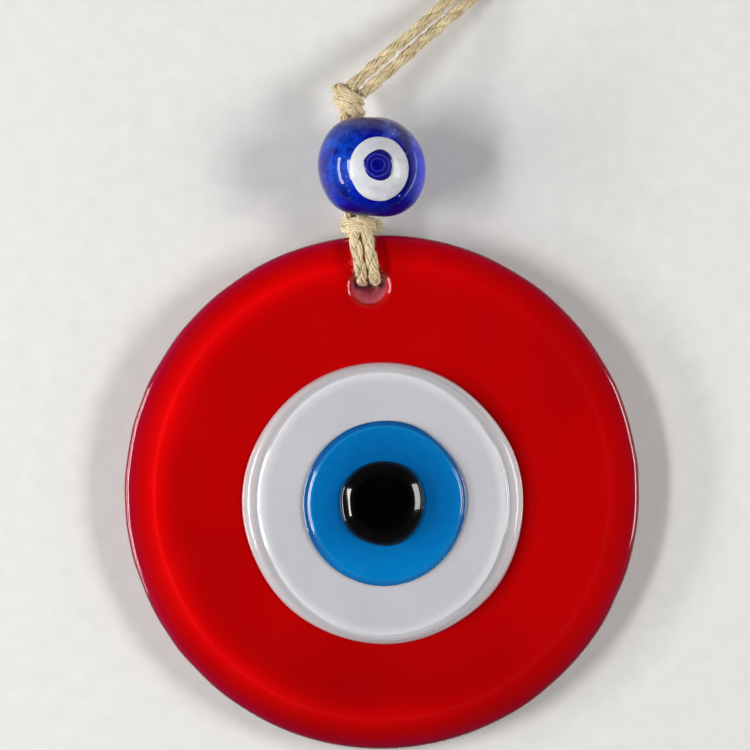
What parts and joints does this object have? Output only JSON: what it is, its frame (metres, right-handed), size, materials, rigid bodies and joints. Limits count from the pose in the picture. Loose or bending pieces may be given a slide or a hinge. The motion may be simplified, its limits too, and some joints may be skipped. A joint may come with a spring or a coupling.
{
  "type": "evil eye ornament",
  "caption": "Round red glass eye disc with raised glass rings, hung on a doubled hemp twine with a blue glass eye bead and a hanging loop.",
  "frame": {"origin": "on the table, under the middle of the red disc, which lies on its back", "axes": "+Z is the way the eye looks, +Y runs from the eye to the bead and the hanging loop"},
  "size_m": [0.09, 0.1849, 0.0192],
  "materials": {
    "red_glass": "fire-polished, nearly opaque, a little clearer at the rim",
    "white_glass": "opaque milk glass, fire-polished",
    "light_blue_glass": "fire-polished, nearly opaque",
    "black_glass": "fire-polished dome",
    "cobalt_glass": "clear deep cobalt with seeds and darker clouds",
    "navy_glass": "dark blue dot, fire-polished",
    "hemp": "natural two-ply hemp twine, fuzzy"
  },
  "bodies": {
    "disc": {"red_disc": "red_glass", "white_disc": "white_glass", "blue_disc": "light_blue_glass", "black_pupil": "black_glass"},
    "hanger": {"lower_knot": "hemp", "upper_knot": "hemp", "twine_ends": "hemp", "tie_strand_left": "hemp", "tie_strand_right": "hemp", "bead_strand_left": "hemp", "bead_strand_right": "hemp", "hanger_loop": "hemp"},
    "bead": {"bead_body": "cobalt_glass", "bead_eye_white": "white_glass", "bead_eye_blue": "navy_glass"}
  },
  "joints": [
    {"name": "disc_swing", "type": "hinge", "parent": "disc", "child": "hanger", "pos_m": [0, 0.0413, 0.0049], "axis": [1, 0, 0], "range_deg": [-90, 90], "deforming": ["tie_strand_left", "tie_strand_right"]},
    {"name": "bead_spin", "type": "hinge", "parent": "hanger", "child": "bead", "pos_m": [-0.0014, 0.05665, 0.0078], "axis": [0, 1, 0], "continuous": true}
  ]
}
